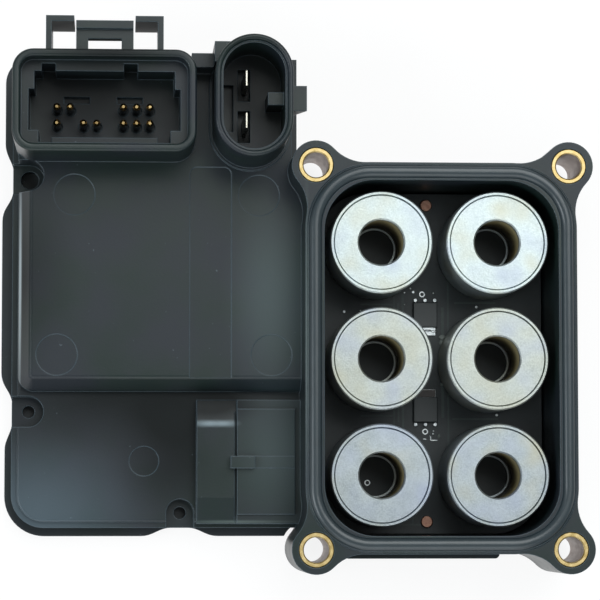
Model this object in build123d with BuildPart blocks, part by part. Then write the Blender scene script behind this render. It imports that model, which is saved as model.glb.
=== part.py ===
from build123d import *
import os

# ABS control module: the electronic half of an anti-lock brake unit, seen from the side that
# bolts to the valve block. It lies on its back cover, with the solenoid coils facing up.
# The origin is in the middle of the four bolts, on the underside of the cover. Lengths are in mm.

os.makedirs("parts", exist_ok=True)

# Cuts run past the surface that they open by this much
overrun = 1.0

# Gap between pieces that don't press on each other
slip = 0.1

# Levels above the underside of the cover
cover_thick = 3.0
sealant_thick = 0.5
board_gap = 2.0
board_thick = 1.6
lower_deck_level = 9.5
box_level = 12.6
upper_deck_level = 16.0
ear_level = 30.0
signal_rim_level = 34.0
motor_rim_level = 38.0
foot_level = cover_thick + sealant_thick
board_level = cover_thick + board_gap
board_top = board_level + board_thick

# Walls of the housing
wall = 2.4
deck_thick = 2.2
shroud_wall = 1.7

# Solenoid coils, in two columns and three rows
can_radius = 10.85
can_gap = 2.9
coil_columns = 2
coil_rows = 3
can_wall = 0.7
can_floor = 1.0
can_level = 26.0
can_lift = 0.4
plate_thick = 1.8
plate_sink = 0.35
bore_radius = 4.78
valve_hole_radius = 4.25
coil_pitch = 2 * can_radius + can_gap

# Frame around the coils, which sets the places of the bolts
coil_side_gap = 1.55
coil_end_gap = 1.85
frame_thick_x = 3.95
frame_thick_y = 3.8
frame_corner = 13.8
frame_opening_corner = 10.8
frame_shift_x = -0.3
frame_shift_y = -0.15
bolt_inset_x = 1.95
bolt_inset_y = 0.8
ear_radius = 5.15
ear_blend_radius = 9.0
opening_width = (coil_columns - 1) * coil_pitch + 2 * can_radius + 2 * coil_side_gap
opening_height = (coil_rows - 1) * coil_pitch + 2 * can_radius + 2 * coil_end_gap
frame_width = opening_width + 2 * frame_thick_x
frame_height = opening_height + 2 * frame_thick_y
frame_left = frame_shift_x - frame_width / 2
bolt_spacing_x = frame_width - 2 * bolt_inset_x
bolt_spacing_y = frame_height - 2 * bolt_inset_y
ear_places = [
    (side * bolt_spacing_x / 2, end * bolt_spacing_y / 2) for end in (1, -1) for side in (-1, 1)
]
coil_places = [
    (
        frame_shift_x + (column - (coil_columns - 1) / 2) * coil_pitch,
        frame_shift_y + ((coil_rows - 1) / 2 - row) * coil_pitch,
    )
    for row in range(coil_rows)
    for column in range(coil_columns)
]

# Signal shroud, placed from the frame's left side and the middle of the bolts
signal_reach = 42.12
signal_rise = 53.12
signal_width = 38.4
signal_height = 21.5
signal_corner = 4.4
signal_floor = 18.5
ledge_drop = 4.5
signal_x = frame_left - signal_reach
signal_y = signal_rise
signal_high = signal_y + signal_height / 2

# Motor shroud
motor_reach = 11.03
motor_rise = 53.9
motor_width = 16.3
motor_length = 25.65
motor_floor = 20.0
motor_collar = 0.6
motor_collar_rise = 1.2
motor_ledge = 0.45
motor_ledge_drop = 1.2
motor_x = frame_left - motor_reach
motor_y = motor_rise
motor_side = motor_x + motor_width / 2

# Body, which reaches a little past the shrouds
body_margin_left = 0.63
body_margin_high = 1.03
body_margin_motor = 0.83
body_reach_low = 35.8
body_low_corner = 7.0
body_high_corner = 4.0
body_right_corner = 6.0
deck_inset = 1.5
shoulder_line = 3.9
shoulder_run = 2.6
shoulder_drop = 4.0
shoulder_corner = 3.2
strip_low = 30.0
rim_inset = 1.3
rim_drop = 1.2
body_left = signal_x - signal_width / 2 - body_margin_left
body_high = signal_high + body_margin_high
body_right_high = motor_side + body_margin_motor
body_low = -body_reach_low
body_join = frame_left + frame_thick_x / 2
body_top_join = frame_height / 2 - frame_thick_y
deck_left = body_left + deck_inset
deck_low = -shoulder_line - shoulder_run

# Round pockets for the clamps that press the cover on while its sealant sets
pocket_radius = 3.3
low_pocket_radius = 3.0
column_wall = 1.1
ear_wall = 0.8
pocket_level = 6.0
high_hole_radius = 1.9
guide_hole_radius = 1.3
side_pocket_inset = 3.6
high_pocket_y = 39.3
middle_pocket_y = -10.9
low_pocket_inset = 3.2
low_pocket_gap = 3.5

# Box beside the frame, over the leads of the motor relay
box_reach = 22.25
box_margin_low = 0.9
box_high = -8.4
strip_width = 8.6
box_bend = 4.9
box_bend_drop = 1.8
box_bend_round = 2.5
box_slope = 5.5
box_slope_drop = 0.9
panel_rise = 0.9
panel_gap = 1.25
panel_margin = 2.0
panel_groove = 0.45
tab_overlap = 1.3
tab_reach = 3.8
tab_low = -23.05
tab_high = -20.5
tab_rise = 2.3
rib_rise = 0.2
box_left = frame_left - box_reach
box_low = body_low + box_margin_low
box_split = box_left + strip_width
panel_right = frame_left - panel_gap
side_pocket_x = body_left + side_pocket_inset
low_pocket = (box_left - low_pocket_gap, body_low + low_pocket_inset)
side_pockets = [(side_pocket_x, high_pocket_y), (side_pocket_x, middle_pocket_y)]

# Marks of the mould on the deck: round ejectors and a bare strip
mark_depth = 0.15
ejector_radius = 4.4
ejector_high = 35.25
ejector_high_left = 13.4
ejector_high_right = 9.1
ejector_low = 1.0
ejector_low_left = 9.8
ejector_low_right = 6.4
small_ejector_radius = 3.2
small_ejector_left = 28.45
small_ejector_y = -21.5
strip_mark_gap = 15.0
strip_mark_width = 8.9
strip_mark_round = 1.6
strip_mark_high = 41.3

# Lip of the frame, with the groove for the seal
lip_rise = 0.5
lip_inset = 0.4
groove_inset = 0.75
groove_width = 2.6
groove_depth = 1.2

# Keys inside the signal shroud, as reaches from its middle
lining_reach_x = 14.7
lining_reach_low = 8.42
lining_reach_high = 6.63
side_key_reach = 15.9
side_key_low = 5.82
side_key_high = 2.88
corner_key_reach = 13.8
top_key_reach = 8.23
top_key_width = 2.9
top_key_left = 11.73
top_key_right = 5.47
platform_reach = 11.2
platform_low = 6.52
platform_rise = 4.5
slot_low = 1.28
slot_high = 2.68
slot_width = 5.5
slot_depth = 1.4
slot_pitch = 11.3
slot_shift = 0.33

# Signal pins, in two rows of eight places, not all of them filled
pin_radius = 0.75
pin_tip = 0.45
pin_level = 26.0
pin_pitch_x = 2.8
pin_pitch_y = 3.46
pin_reach = 10.07
pin_drop = 0.32
pin_tail = 0.9
pin_well_radius = 1.15
pin_well_depth = 0.9
upper_pin_columns = [0, 1, 5, 6, 7]
lower_pin_columns = [0, 2, 3, 5, 6, 7]
pin_first_x = signal_x - pin_reach
pin_first_y = signal_y - pin_drop
pin_places = [(pin_first_x + column * pin_pitch_x, pin_first_y) for column in upper_pin_columns]
pin_places += [
    (pin_first_x + column * pin_pitch_x, pin_first_y - pin_pitch_y) for column in lower_pin_columns
]

# Blades, key and slots inside the motor shroud, as reaches from its middle
blade_shift = 1.37
blade_pitch = 8.9
blade_width = 3.15
blade_thick = 0.8
blade_tip = 0.6
blade_tip_cut = 0.25
blade_level = 31.0
blade_slot_width = 2.6
blade_slot_length = 6.8
blade_slot_depth = 4.0
blade_slot_shift = 0.15
motor_key_reach = 3.08
motor_key_low = 1.2
motor_key_high = 1.5
motor_key_drop = 7.0
motor_pad_reach = 5.92
motor_pad_width = 2.1
motor_pad_low = 5.5
motor_pad_high = 4.5
motor_pad_depth = 2.2
blade_x = motor_x - blade_shift
blade_places = [motor_y + blade_pitch / 2, motor_y - blade_pitch / 2]

# Ramp for the latch of the motor's connector
ramp_reach = 3.0
ramp_low = 2.7
ramp_high = 2.6
ramp_level = 33.0
ramp_drop = 9.0

# Lug and web between the shrouds
lug_reach = 8.02
lug_width = 4.0
lug_high = 12.4
lug_low = 8.1
lug_level = 30.0
web_high = 10.6
web_low = 7.6
web_level = 25.0

# Bracket that the latch of the signal connector locks to
lock_wall = 1.2
lock_depth = 14.0
lock_level = 31.0
lock_reach = 12.3
lock_rise = 7.43
lock_hook = 5.9
latch_reach = 6.0
latch_rise = 6.43
latch_thick = 1.7
latch_depth = 5.0
latch_plate_rise = 2.73
latch_plate_drop = 1.2
latch_plate_thick = 3.0
latch_leg = 2.5
lock_high = signal_high + lock_rise
latch_high = signal_high + latch_rise
latch_low = latch_high - latch_thick
latch_plate_low = signal_high + latch_plate_rise

# Bores of the ears
ear_bore_radius = 3.75
screw_head_radius = 4.3
bushing_length = 19.0
bushing_hole_radius = 2.65
bushing_chamfer = 0.25
bushing_level = ear_level - bushing_length

# Rounded edges
rim_round = 0.6
deck_round = 1.0
edge_round = 0.5
lip_round = 0.35

# Seal and back cover
seal_proud = 0.8
seal_round = 1.2
ear_clearance = 0.8
flange_reach_high = 1.8
flange_reach_middle = 2.4
flange_reach_low = 1.6
notch_length = 6.0
notch_mouth = 14.0
notch_round = 6.0
frame_flange_reach = 1.3
frame_flange_shift = 1.6
frame_flange_length = 34.0
frame_flange_round = 1.0
post_radius = 2.0
back_depth = 1.4
back_corner = 3.0
back_rib = 2.4
back_margin = 5.0
back_columns = 3
back_rows = 3

# Parts on the board: rivets and driver chips between the coils, the rest under the deck
board_clearance = 0.4
rivet_shift = 0.9
rivet_inset = 2.9
rivet_radius = 0.7
rivet_head_radius = 1.3
rivet_head = 0.6
rivet_round = 0.25
driver_shift = 1.15
driver_drop = 2.0
driver_width = 5.2
driver_length = 5.4
driver_height = 1.1
chip_bevel = 0.15
post_inset_left = 10.9
post_inset_right = 7.0
post_inset_high = 8.9
post_inset_low = 7.8
processor_inset = 28.9
processor_rise = 26.0
processor_side = 14.0
processor_height = 1.4
transistor_inset = 12.0
transistor_low = 8.0
transistor_pitch = 16.0
transistor_width = 10.0
transistor_length = 9.0
transistor_height = 4.4
capacitor_inset = 12.9
capacitor_rise = 8.0
capacitor_radius = 4.0
capacitor_height = 6.3
capacitor_round = 0.5
heat_tab_width = 4.4
heat_tab_length = 1.7
heat_tab_thick = 0.5
solder_pitch = 2.12
solder_gap = 0.5
solder_radius = 0.4
solder_height = 0.3
rivet_reach = opening_height / 2 - rivet_inset
rivet_places = [
    (frame_shift_x - rivet_shift, frame_shift_y + end * rivet_reach) for end in (1, -1)
]
driver_x = frame_shift_x - driver_shift
driver_reach = coil_pitch / 2 - driver_drop
post_left = body_left + post_inset_left
post_right = frame_left - post_inset_right
post_high = body_high - post_inset_high
post_low = body_low + post_inset_low
post_places = rivet_places + [
    (x, y) for x in (post_left, post_right) for y in (post_high, post_low)
]
post_places.append(((post_left + post_right) / 2, (post_high + post_low) / 2))

# Inside the coils
coil_foot_reach = 7.4
coil_foot_radius = 1.1
coil_pin_radius = 0.35
can_foot_round = 1.0
can_rim_cut = 0.25
plate_cut = 0.3
flange_thick = 0.8
bobbin_flange_radius = 9.9
bobbin_bore_radius = 4.9
bobbin_end_radius = 4.6
bobbin_wall = 0.7
winding_radius = 9.4


def draw_field(left, low, right, high, mode=Mode.ADD):
    """Draws a rectangle between four edges."""
    with Locations(((left + right) / 2, (low + high) / 2)):
        Rectangle(right - left, high - low, mode=mode)


def raise_block(left, low, right, high, foot, top, mode=Mode.ADD):
    """Raises a straight block over a rectangle, or cuts one away."""
    with BuildSketch(Plane.XY.offset(foot)) as plan:
        draw_field(left, low, right, high)
    extrude(plan.sketch, amount=top - foot, mode=mode)


def round_corner(plan, x, y, radius):
    """Rounds the corner of a plan that lies nearest to a point."""
    fillet(plan.vertices().sort_by_distance((x, y, 0))[0], radius)


def draw_frame(inset, mode=Mode.ADD):
    """Draws the frame's rounded outline, pulled in by an inset."""
    with Locations((frame_shift_x, frame_shift_y)):
        RectangleRounded(
            frame_width - 2 * inset, frame_height - 2 * inset, frame_corner - inset, mode=mode
        )


def draw_opening(mode=Mode.ADD):
    """Draws the opening for the coils."""
    with Locations((frame_shift_x, frame_shift_y)):
        RectangleRounded(opening_width, opening_height, frame_opening_corner, mode=mode)


def draw_body_plan(grow=0):
    """Draws the body's plan without its ears, grown outwards by a reach."""
    draw_field(body_left - grow, body_low - grow, body_join, body_top_join)
    draw_field(body_left - grow, strip_low, body_right_high + grow, body_high + grow)
    draw_frame(-grow)


def draw_guide_holes(mode=Mode.ADD):
    """Draws the holes in the floors of the clamp pockets, the highest one wider."""
    with Locations(side_pockets[0]):
        Circle(high_hole_radius, mode=mode)
    with Locations(low_pocket, side_pockets[1]):
        Circle(guide_hole_radius, mode=mode)


def hand_over(piece, name):
    """Labels a finished piece and writes it."""
    piece.label = name
    export_step(piece, f"parts/{name}.step")


with BuildSketch() as inner_plan:
    # Space inside the housing's walls, clear of the columns under the pockets and of the lower
    # left ear
    draw_field(body_left + wall, body_low + wall, frame_left, body_top_join - wall)
    draw_field(body_left + wall, strip_low, body_right_high - wall, body_high - wall)
    draw_field(body_join - frame_thick_x, box_low + wall, frame_shift_x, strip_low)
    draw_opening()
    with Locations(low_pocket, *side_pockets):
        Circle(pocket_radius + column_wall, mode=Mode.SUBTRACT)
    with Locations(ear_places[2]):
        Circle(ear_radius + ear_clearance + ear_wall, mode=Mode.SUBTRACT)


# Housing
# One moulding: the body, the frame around the coils with its four ears, both connector shrouds
# and the bracket that the cable's connector locks to.
ledge_level = lower_deck_level - rim_drop
slope_level = upper_deck_level - shoulder_drop
hollow_foot = lower_deck_level - deck_thick - overrun
hollow_top = upper_deck_level - deck_thick
with BuildPart() as housing:
    # Lower body, with a small ledge all round its rim
    with BuildSketch(Plane.XY.offset(foot_level)) as lower_plan:
        draw_body_plan()
        round_corner(lower_plan, body_left, body_low, body_low_corner)
        round_corner(lower_plan, body_left, body_high, body_high_corner)
    extrude(amount=ledge_level - foot_level)
    with BuildSketch(Plane.XY.offset(ledge_level)) as rim_plan:
        draw_body_plan(grow=-rim_inset)
        round_corner(
            rim_plan, body_left + rim_inset, body_low + rim_inset, body_low_corner - rim_inset
        )
        round_corner(
            rim_plan, body_left + rim_inset, body_high - rim_inset, body_high_corner - rim_inset
        )
    extrude(amount=rim_drop)
    rim_face = housing.faces().sort_by(Axis.Z)[-1]
    fillet(rim_face.outer_wire().edges(), edge_round)

    # Upper deck: its field slopes down to the left and towards the box
    with BuildSketch(Plane.XY.offset(lower_deck_level)) as field_plan:
        draw_field(deck_left, deck_low, body_join, body_top_join)
        draw_field(deck_left, deck_low, body_right_high, high_pocket_y)
        round_corner(field_plan, deck_left, deck_low, shoulder_corner)
    extrude(amount=upper_deck_level - lower_deck_level)
    deck_face = housing.faces().sort_by(Axis.Z)[-1]
    sloped = [
        edge
        for edge in deck_face.edges()
        if edge.geom_type == GeomType.CIRCLE
        or abs(edge.center().X - deck_left) < slip
        or abs(edge.center().Y - deck_low) < slip
    ]
    chamfer(sloped, length=shoulder_run, length2=shoulder_drop, reference=deck_face)
    deck_face = housing.faces().sort_by(Axis.Z)[-1]
    sloped = [
        edge
        for edge in deck_face.edges()
        if edge.geom_type == GeomType.CIRCLE
        or abs(edge.center().X - deck_left - shoulder_run) < slip
        or abs(edge.center().Y - deck_low - shoulder_run) < slip
    ]
    fillet(sloped, deck_round)
    slope_feet = housing.edges().filter_by_position(
        Axis.Z, slope_level - slip, slope_level + slip
    )
    fillet(slope_feet, edge_round)
    with BuildSketch(Plane.XY.offset(lower_deck_level)) as strip_plan:
        draw_field(deck_left, high_pocket_y, body_right_high, body_high)
        round_corner(strip_plan, deck_left, body_high, body_high_corner)
        round_corner(strip_plan, body_right_high, body_high, body_right_corner)
    extrude(amount=upper_deck_level - lower_deck_level)

    # Marks of the mould
    with BuildSketch(Plane.XY.offset(upper_deck_level - mark_depth)) as mark_plan:
        draw_field(
            frame_left - strip_mark_gap - strip_mark_width, deck_low,
            frame_left - strip_mark_gap, strip_mark_high,
        )
        for x in (frame_left - strip_mark_gap - strip_mark_width, frame_left - strip_mark_gap):
            round_corner(mark_plan, x, strip_mark_high, strip_mark_round)
        ejectors = [
            (body_left + ejector_high_left, ejector_high),
            (frame_left - ejector_high_right, ejector_high),
            (body_left + ejector_low_left, ejector_low),
            (frame_left - ejector_low_right, ejector_low),
        ]
        with Locations(*ejectors):
            Circle(ejector_radius)
    extrude(amount=mark_depth + overrun, mode=Mode.SUBTRACT)
    with BuildSketch(Plane.XY.offset(lower_deck_level - mark_depth)):
        with Locations((body_left + small_ejector_left, small_ejector_y)):
            Circle(small_ejector_radius)
    extrude(amount=mark_depth + overrun, mode=Mode.SUBTRACT)

    # Box, bent down at both ends of its narrow strip
    with BuildSketch(Plane.YZ.offset(box_left)) as bend_plan:
        with BuildLine():
            Polyline(
                (box_low, hollow_foot),
                (box_low, box_level - box_slope_drop),
                (box_low + box_slope, box_level),
                (box_high - box_bend, box_level),
                (box_high, box_level - box_bend_drop),
                (box_high, hollow_foot),
                close=True,
            )
        make_face()
        fillet(
            bend_plan.vertices().sort_by_distance((box_left, box_high - box_bend, box_level))[0],
            box_bend_round,
        )
    extrude(amount=strip_width)
    raise_block(box_split, box_low, body_join, box_high, hollow_foot, box_level)
    raise_block(
        box_split, box_low + panel_margin, panel_right, box_high - panel_margin,
        box_level, box_level + panel_rise,
    )
    raise_block(
        box_split - panel_groove, box_low - overrun, box_split, box_high + overrun,
        box_level - panel_rise, box_level + overrun, mode=Mode.SUBTRACT,
    )
    raise_block(
        box_split - tab_overlap, tab_low, box_split + tab_reach, tab_high,
        box_level - panel_rise, box_level + tab_rise,
    )
    raise_block(
        box_split + tab_reach, tab_low, panel_right, tab_high,
        box_level, box_level + panel_rise + rib_rise,
    )

    # Frame with its ears, and the lip on it
    with BuildSketch(Plane.XY.offset(foot_level)) as frame_plan:
        draw_frame(0)
        with Locations(*ear_places):
            Circle(ear_radius)
        crossings = [
            vertex
            for vertex in frame_plan.vertices()
            if any((vertex.X - x) ** 2 + (vertex.Y - y) ** 2 < (ear_radius + slip) ** 2
                   for x, y in ear_places)
        ]
        fillet(crossings, ear_blend_radius)
    extrude(amount=ear_level - foot_level)
    with BuildSketch(Plane.XY.offset(ear_level)):
        draw_frame(lip_inset)
    extrude(amount=lip_rise)
    lip_face = housing.faces().sort_by(Axis.Z)[-1]
    fillet(lip_face.outer_wire().edges(), lip_round)

    # Shrouds
    with BuildSketch(Plane.XY.offset(ledge_level)):
        with Locations((signal_x, signal_y)):
            RectangleRounded(signal_width, signal_height, signal_corner)
    extrude(amount=signal_rim_level - ledge_level)
    with BuildSketch(Plane.XY.offset(upper_deck_level)):
        with Locations((motor_x, motor_y)):
            SlotOverall(motor_length, motor_width, rotation=90)
    extrude(amount=motor_rim_level - upper_deck_level)
    with BuildSketch(Plane.XY.offset(upper_deck_level)):
        with Locations((motor_x, motor_y)):
            SlotOverall(motor_length + 2 * motor_collar, motor_width + 2 * motor_collar, rotation=90)
        draw_field(
            body_right_high, motor_y - motor_length, 0, motor_y + motor_length, mode=Mode.SUBTRACT
        )
    extrude(amount=motor_collar_rise)

    # Web and lug between the shrouds
    web_left = signal_x + signal_width / 2 - shroud_wall / 2
    lug_left = motor_x - lug_reach
    raise_block(web_left, motor_y + web_low, lug_left, motor_y + web_high, hollow_top, web_level)
    raise_block(
        lug_left, motor_y + lug_low, lug_left + lug_width, motor_y + lug_high,
        hollow_top, lug_level,
    )

    # Ramp for the motor connector's latch
    with BuildSketch(Plane.XZ.offset(-motor_y - ramp_high)):
        with BuildLine():
            Polyline(
                (motor_side - shroud_wall / 2, ramp_level),
                (motor_side + ramp_reach, ramp_level),
                (motor_side, ramp_level - ramp_drop),
                (motor_side - shroud_wall / 2, ramp_level - ramp_drop),
                close=True,
            )
        make_face()
    extrude(amount=ramp_high + ramp_low)

    # Locking bracket
    lock_foot = lock_level - lock_depth
    for way in (-1, 1):
        outer = signal_x + way * lock_reach
        inner = outer - way * lock_wall
        hook = outer - way * lock_hook
        raise_block(
            min(outer, inner), signal_high - shroud_wall, max(outer, inner), lock_high,
            lock_foot, lock_level,
        )
        raise_block(
            min(outer, hook), lock_high - lock_wall, max(outer, hook), lock_high,
            lock_foot, lock_level,
        )
    latch_left = signal_x - latch_reach
    latch_right = signal_x + latch_reach
    raise_block(
        latch_left, latch_low, latch_right, latch_high, lock_level - latch_depth, lock_level
    )
    plate_level = lock_level - latch_plate_drop
    raise_block(
        latch_left, latch_plate_low, latch_right, latch_low,
        plate_level - latch_plate_thick, plate_level,
    )
    for side in (latch_left, latch_right - latch_leg):
        raise_block(
            side, signal_high - shroud_wall, side + latch_leg, latch_plate_low,
            plate_level - latch_plate_thick, plate_level,
        )

    # Opening for the coils, and the groove for the seal
    lip_level = ear_level + lip_rise
    groove_foot = lip_level - groove_depth
    with BuildSketch(Plane.XY.offset(foot_level - overrun)):
        draw_opening()
    extrude(amount=lip_level - foot_level + 2 * overrun, mode=Mode.SUBTRACT)
    with BuildSketch(Plane.XY.offset(groove_foot)):
        draw_frame(groove_inset)
        draw_frame(groove_inset + groove_width, mode=Mode.SUBTRACT)
    extrude(amount=groove_depth + overrun, mode=Mode.SUBTRACT)

    # Space for the board, open at the back
    with BuildSketch(Plane.XY.offset(foot_level - overrun)):
        add(inner_plan.sketch)
    extrude(amount=lower_deck_level - deck_thick - foot_level + overrun, mode=Mode.SUBTRACT)
    pocket_reach = pocket_radius + wall
    raise_block(
        deck_left + wall, -shoulder_line + wall, frame_left - wall, high_pocket_y - pocket_reach,
        hollow_foot, hollow_top, mode=Mode.SUBTRACT,
    )
    raise_block(
        side_pocket_x + pocket_reach, -shoulder_line + wall, body_right_high - wall,
        body_high - wall, hollow_foot, hollow_top, mode=Mode.SUBTRACT,
    )
    raise_block(
        deck_left + wall, high_pocket_y + pocket_reach, body_right_high - wall, body_high - wall,
        hollow_foot, hollow_top, mode=Mode.SUBTRACT,
    )
    raise_block(
        box_left + wall, box_low + box_slope + wall, frame_left - wall, box_high - box_bend - wall,
        hollow_foot, box_level - deck_thick, mode=Mode.SUBTRACT,
    )

    # Signal socket
    lining_level = signal_rim_level - ledge_drop
    with BuildSketch(Plane.XY.offset(lining_level)):
        with Locations((signal_x, signal_y)):
            RectangleRounded(
                signal_width - 2 * shroud_wall,
                signal_height - 2 * shroud_wall,
                signal_corner - shroud_wall,
            )
    extrude(amount=ledge_drop + overrun, mode=Mode.SUBTRACT)
    with BuildSketch(Plane.XY.offset(signal_floor)):
        lining_low = signal_y - lining_reach_low
        lining_high = signal_y + lining_reach_high
        side_key_foot = signal_y - side_key_low
        draw_field(
            signal_x - lining_reach_x, lining_low, signal_x + lining_reach_x, lining_high
        )
        draw_field(
            signal_x - side_key_reach, side_key_foot,
            signal_x + side_key_reach, signal_y + side_key_high,
        )
        for way in (-1, 1):
            corner_key = signal_x + way * corner_key_reach
            wall_side = signal_x + way * lining_reach_x
            draw_field(
                min(corner_key, wall_side), lining_low, max(corner_key, wall_side),
                side_key_foot, mode=Mode.SUBTRACT,
            )
        for place in (signal_x - top_key_left, signal_x + top_key_right):
            draw_field(
                place - top_key_width / 2, lining_high,
                place + top_key_width / 2, signal_y + top_key_reach,
            )
    extrude(amount=lining_level - signal_floor, mode=Mode.SUBTRACT)
    raise_block(
        signal_x - platform_reach, lining_low, signal_x + platform_reach, signal_y - platform_low,
        signal_floor, signal_floor + platform_rise,
    )
    for way in (-1, 1):
        place = signal_x - slot_shift + way * slot_pitch / 2
        raise_block(
            place - slot_width / 2, signal_y + slot_low,
            place + slot_width / 2, signal_y + slot_high,
            signal_floor - slot_depth, signal_floor + overrun, mode=Mode.SUBTRACT,
        )
    with BuildSketch(Plane.XY.offset(signal_floor - pin_well_depth)):
        with Locations(*pin_places):
            Circle(pin_well_radius)
    extrude(amount=pin_well_depth, mode=Mode.SUBTRACT)
    with BuildSketch(Plane.XY.offset(upper_deck_level - deck_thick - overrun)):
        with Locations(*pin_places):
            Circle(pin_radius)
    extrude(amount=signal_floor - upper_deck_level + deck_thick + overrun, mode=Mode.SUBTRACT)

    # Motor socket
    with BuildSketch(Plane.XY.offset(motor_floor)):
        with Locations((motor_x, motor_y)):
            SlotOverall(
                motor_length - 2 * shroud_wall, motor_width - 2 * shroud_wall, rotation=90
            )
        draw_field(
            motor_x + motor_key_reach, motor_y - motor_key_low, 0, motor_y + motor_key_high,
            mode=Mode.SUBTRACT,
        )
    extrude(amount=motor_rim_level - motor_floor + overrun, mode=Mode.SUBTRACT)
    with BuildSketch(Plane.XY.offset(motor_rim_level - motor_key_drop)):
        with Locations((motor_x, motor_y)):
            SlotOverall(
                motor_length - 2 * shroud_wall, motor_width - 2 * shroud_wall, rotation=90
            )
    extrude(amount=motor_key_drop + overrun, mode=Mode.SUBTRACT)
    with BuildSketch(Plane.XY.offset(motor_rim_level - motor_ledge_drop)):
        with Locations((motor_x, motor_y)):
            SlotOverall(
                motor_length - 2 * shroud_wall + 2 * motor_ledge,
                motor_width - 2 * shroud_wall + 2 * motor_ledge,
                rotation=90,
            )
    extrude(amount=motor_ledge_drop + overrun, mode=Mode.SUBTRACT)
    for place in blade_places:
        raise_block(
            blade_x - blade_slot_shift - blade_slot_width / 2, place - blade_slot_length / 2,
            blade_x - blade_slot_shift + blade_slot_width / 2, place + blade_slot_length / 2,
            motor_floor - blade_slot_depth, motor_floor + overrun, mode=Mode.SUBTRACT,
        )
        raise_block(
            blade_x - blade_thick / 2, place - blade_width / 2,
            blade_x + blade_thick / 2, place + blade_width / 2,
            upper_deck_level - deck_thick - overrun, motor_floor, mode=Mode.SUBTRACT,
        )
    motor_pad = motor_x - motor_pad_reach
    raise_block(
        motor_pad, motor_y - motor_pad_low, motor_pad + motor_pad_width, motor_y + motor_pad_high,
        motor_floor - motor_pad_depth, motor_floor + overrun, mode=Mode.SUBTRACT,
    )

    # Clamp pockets, each with a guide hole in its floor
    for x, y in side_pockets:
        with BuildSketch(Plane.XY.offset(pocket_level)):
            with Locations((x, y)):
                Circle(pocket_radius)
            draw_field(body_left - overrun, y - pocket_radius, x, y + pocket_radius)
        extrude(amount=upper_deck_level - pocket_level + overrun, mode=Mode.SUBTRACT)
    with BuildSketch(Plane.XY.offset(pocket_level)):
        with Locations(low_pocket):
            Circle(low_pocket_radius)
        draw_field(
            low_pocket[0] - low_pocket_radius, body_low - overrun,
            low_pocket[0] + low_pocket_radius, low_pocket[1],
        )
    extrude(amount=upper_deck_level - pocket_level, mode=Mode.SUBTRACT)
    with BuildSketch(Plane.XY.offset(foot_level - overrun)):
        draw_guide_holes()
    extrude(amount=pocket_level - foot_level + 2 * overrun, mode=Mode.SUBTRACT)

    # Bores of the ears, stepped for the screw heads
    with BuildSketch(Plane.XY.offset(bushing_level)):
        with Locations(*ear_places):
            Circle(ear_bore_radius)
    extrude(amount=bushing_length + overrun, mode=Mode.SUBTRACT)
    with BuildSketch(Plane.XY.offset(foot_level - overrun)):
        with Locations(*ear_places):
            Circle(screw_head_radius)
    extrude(amount=bushing_level - foot_level + overrun, mode=Mode.SUBTRACT)

    # Rounded rims
    for level in (signal_rim_level, motor_rim_level):
        rims = housing.faces().filter_by(Axis.Z).filter_by_position(
            Axis.Z, level - slip, level + slip
        )
        fillet(rims.edges(), rim_round)

hand_over(housing.part, "housing")

# Sealant
# One bead of silicone along the foot of the housing's wall, squeezed flat by the cover.
with BuildPart() as cover_seal:
    with BuildSketch(Plane.XY.offset(cover_thick)) as bead_plan:
        draw_body_plan()
        round_corner(bead_plan, body_left, body_low, body_low_corner)
        round_corner(bead_plan, body_left, body_high, body_high_corner)
        add(inner_plan.sketch, mode=Mode.SUBTRACT)
        draw_guide_holes(mode=Mode.SUBTRACT)
        with Locations(*ear_places):
            Circle(ear_radius + ear_clearance, mode=Mode.SUBTRACT)
    extrude(amount=sealant_thick)

hand_over(cover_seal.part, "cover_seal")


# Shallow fields in the underside of the cover, between ribs that stand on the ground
field_left = body_left + back_margin
field_right = frame_left - back_margin
field_low = body_low + back_margin
field_high = body_high - back_margin
field_width = (field_right - field_left - (back_columns - 1) * back_rib) / back_columns
field_length = (field_high - field_low - (back_rows - 1) * back_rib) / back_rows
back_fields = [
    (
        field_left + column * (field_width + back_rib),
        field_low + row * (field_length + back_rib),
        field_left + column * (field_width + back_rib) + field_width,
        field_low + row * (field_length + back_rib) + field_length,
    )
    for column in range(back_columns)
    for row in range(back_rows)
]

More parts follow.
